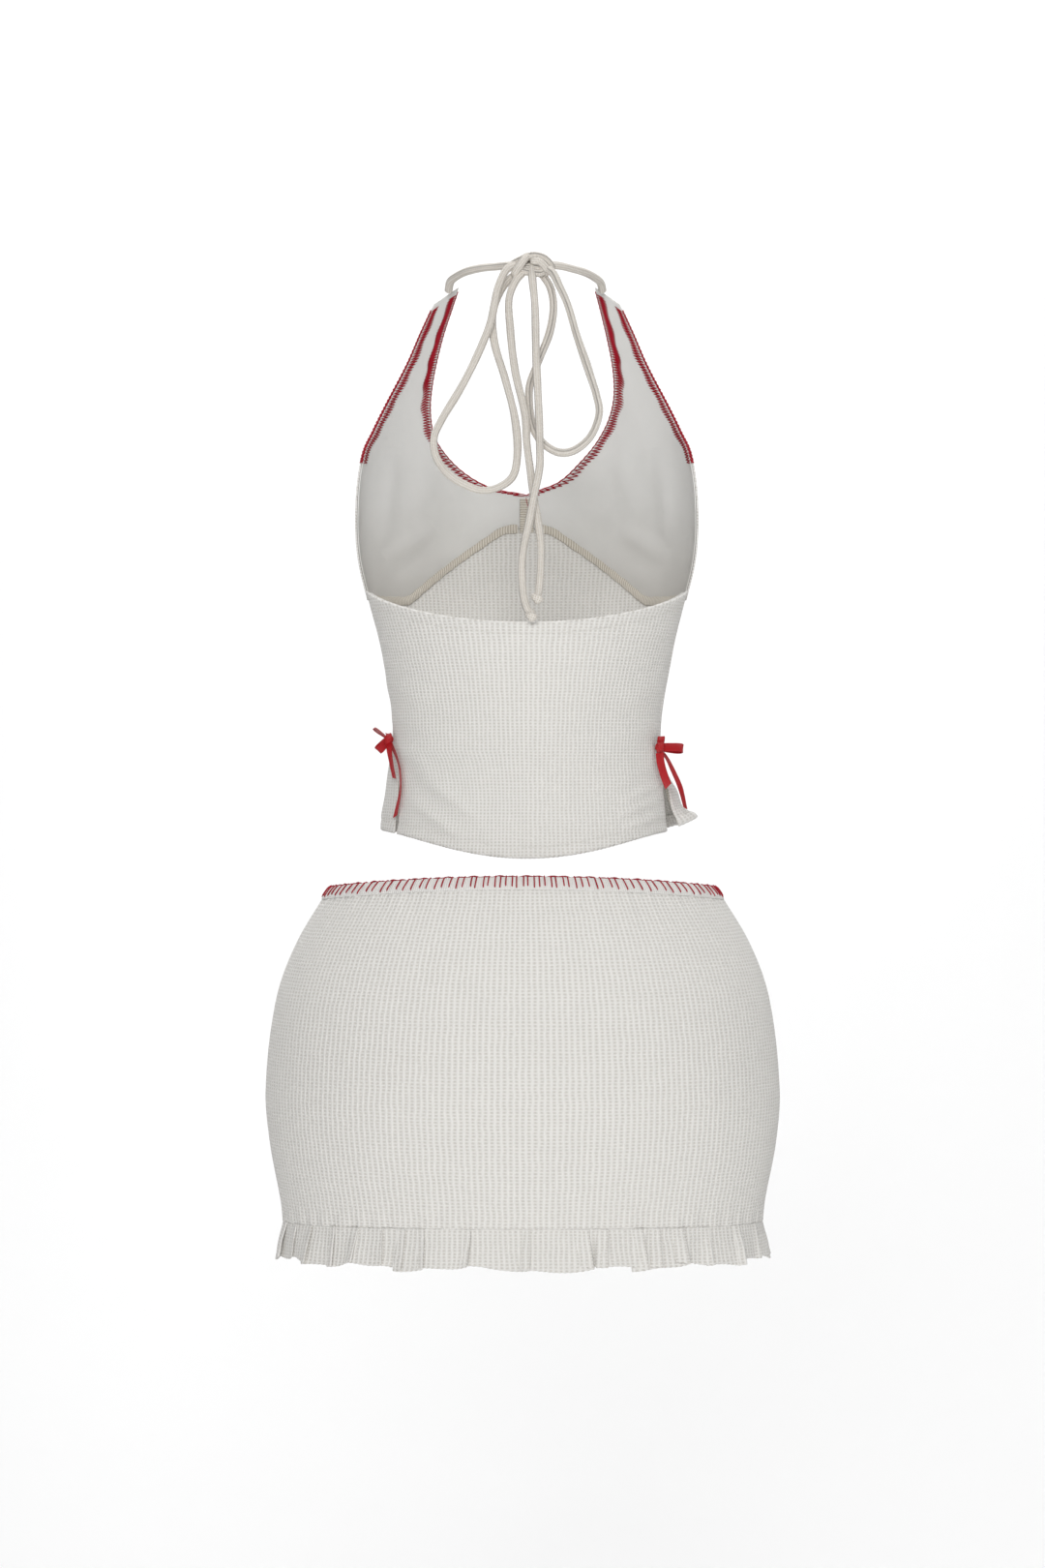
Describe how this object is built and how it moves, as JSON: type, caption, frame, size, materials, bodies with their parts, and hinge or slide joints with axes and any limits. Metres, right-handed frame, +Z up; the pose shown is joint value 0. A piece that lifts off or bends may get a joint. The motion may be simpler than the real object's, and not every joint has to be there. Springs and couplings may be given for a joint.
{
  "type": "cheer uniform",
  "caption": "Two-piece cheer uniform in off-white waffle knit: a halter crop top tied with a bow behind the neck, and a ruffled mini skirt, filled out as worn.",
  "frame": {"origin": "middle of the wearer's body at the natural waist, the narrowest level of the top", "axes": "+Z up, +Y the way the wearer faces, +X the wearer's right"},
  "size_m": [0.4506, 0.2709, 0.8682],
  "materials": {
    "waffle_knit": "off-white waffle knit",
    "cup_lining": "smooth greyish lining",
    "seam_allowance": "overlocked knit edge",
    "bust_foam": "foam under cloth",
    "elastic": "woven elastic band",
    "overlock_thread": "dark red polyester thread",
    "satin_ribbon": "red satin",
    "knit_cord": "warm white ribbed knit tube"
  },
  "bodies": {
    "top": {"back_panel": "waffle_knit", "front_midriff_panel": "waffle_knit", "back_top_elastic": "elastic", "back_top_facing": "waffle_knit", "back_hem_facing": "waffle_knit", "front_hem_facing": "waffle_knit", "centre_front_seam": "seam_allowance", "halter_knot": "knit_cord", "left_side_seam": "seam_allowance", "left_back_slit_facing": "seam_allowance", "left_front_slit_facing": "seam_allowance", "left_cup_lining": "cup_lining", "left_cup_shell": "waffle_knit", "left_bust_pad": "bust_foam", "left_underbust_seam": "seam_allowance", "left_neckline_thread": "overlock_thread", "left_armhole_thread": "overlock_thread", "left_halter_string": "knit_cord", "left_ribbon_knot": "satin_ribbon", "left_ribbon_upper_loop": "satin_ribbon", "left_ribbon_lower_loop": "satin_ribbon", "right_side_seam": "seam_allowance", "right_back_slit_facing": "seam_allowance", "right_front_slit_facing": "seam_allowance", "right_cup_lining": "cup_lining", "right_cup_shell": "waffle_knit", "right_bust_pad": "bust_foam", "right_underbust_seam": "seam_allowance", "right_neckline_thread": "overlock_thread", "right_armhole_thread": "overlock_thread", "right_halter_string": "knit_cord", "right_ribbon_knot": "satin_ribbon", "right_ribbon_upper_loop": "satin_ribbon", "right_ribbon_lower_loop": "satin_ribbon"},
    "skirt": {"skirt_back_panel": "waffle_knit", "skirt_front_panel": "waffle_knit", "skirt_back_casing": "waffle_knit", "skirt_front_casing": "waffle_knit", "back_ruffle": "waffle_knit", "front_ruffle": "waffle_knit", "waist_elastic": "elastic", "ruffle_seam_allowance": "seam_allowance", "skirt_left_seam": "seam_allowance", "skirt_right_seam": "seam_allowance", "waist_edge_thread": "overlock_thread"},
    "halter_bow": {"right_bow_loop": "knit_cord", "back_tail": "knit_cord", "back_tail_tip_knot": "knit_cord"},
    "left_loop": {"left_bow_loop": "knit_cord"},
    "front_tail": {"front_tail": "knit_cord", "front_tail_tip_knot": "knit_cord"},
    "left_ribbon_outer_tail_end": {"left_ribbon_outer_tail": "satin_ribbon"},
    "left_ribbon_inner_tail_end": {"left_ribbon_inner_tail": "satin_ribbon"},
    "right_ribbon_outer_tail_end": {"right_ribbon_outer_tail": "satin_ribbon"},
    "right_ribbon_inner_tail_end": {"right_ribbon_inner_tail": "satin_ribbon"}
  },
  "joints": [
    {"name": "skirt_pull_down", "type": "slide", "parent": "top", "child": "skirt", "axis": [0, 0, -1], "range_m": [0, 0.4]},
    {"name": "bow_swing", "type": "hinge", "parent": "top", "child": "halter_bow", "pos_m": [0.005, -0.066, 0.394], "axis": [-1, 0, 0], "range_deg": [0, 25]},
    {"name": "left_loop_swing", "type": "hinge", "parent": "halter_bow", "child": "left_loop", "pos_m": [0.005, -0.066, 0.394], "axis": [-1, 0, 0], "range_deg": [0, 15]},
    {"name": "front_tail_swing", "type": "hinge", "parent": "halter_bow", "child": "front_tail", "pos_m": [0.005, -0.066, 0.394], "axis": [-1, 0, 0], "range_deg": [0, 15]},
    {"name": "left_outer_tail_swing", "type": "hinge", "parent": "top", "child": "left_ribbon_outer_tail_end", "pos_m": [-0.1196, -0.019, -0.012], "axis": [-0.5026, 0.8645, 0], "range_deg": [0, 25]},
    {"name": "left_inner_tail_swing", "type": "hinge", "parent": "top", "child": "left_ribbon_inner_tail_end", "pos_m": [-0.1196, -0.019, -0.012], "axis": [-0.8645, -0.5026, 0], "range_deg": [0, 25]},
    {"name": "right_outer_tail_swing", "type": "hinge", "parent": "top", "child": "right_ribbon_outer_tail_end", "pos_m": [0.1171, -0.031, -0.019], "axis": [-0.9536, -0.3011, 0], "range_deg": [0, 45]},
    {"name": "right_inner_tail_swing", "type": "hinge", "parent": "top", "child": "right_ribbon_inner_tail_end", "pos_m": [0.1171, -0.031, -0.019], "axis": [0, -1, 0], "range_deg": [0, 25]}
  ]
}
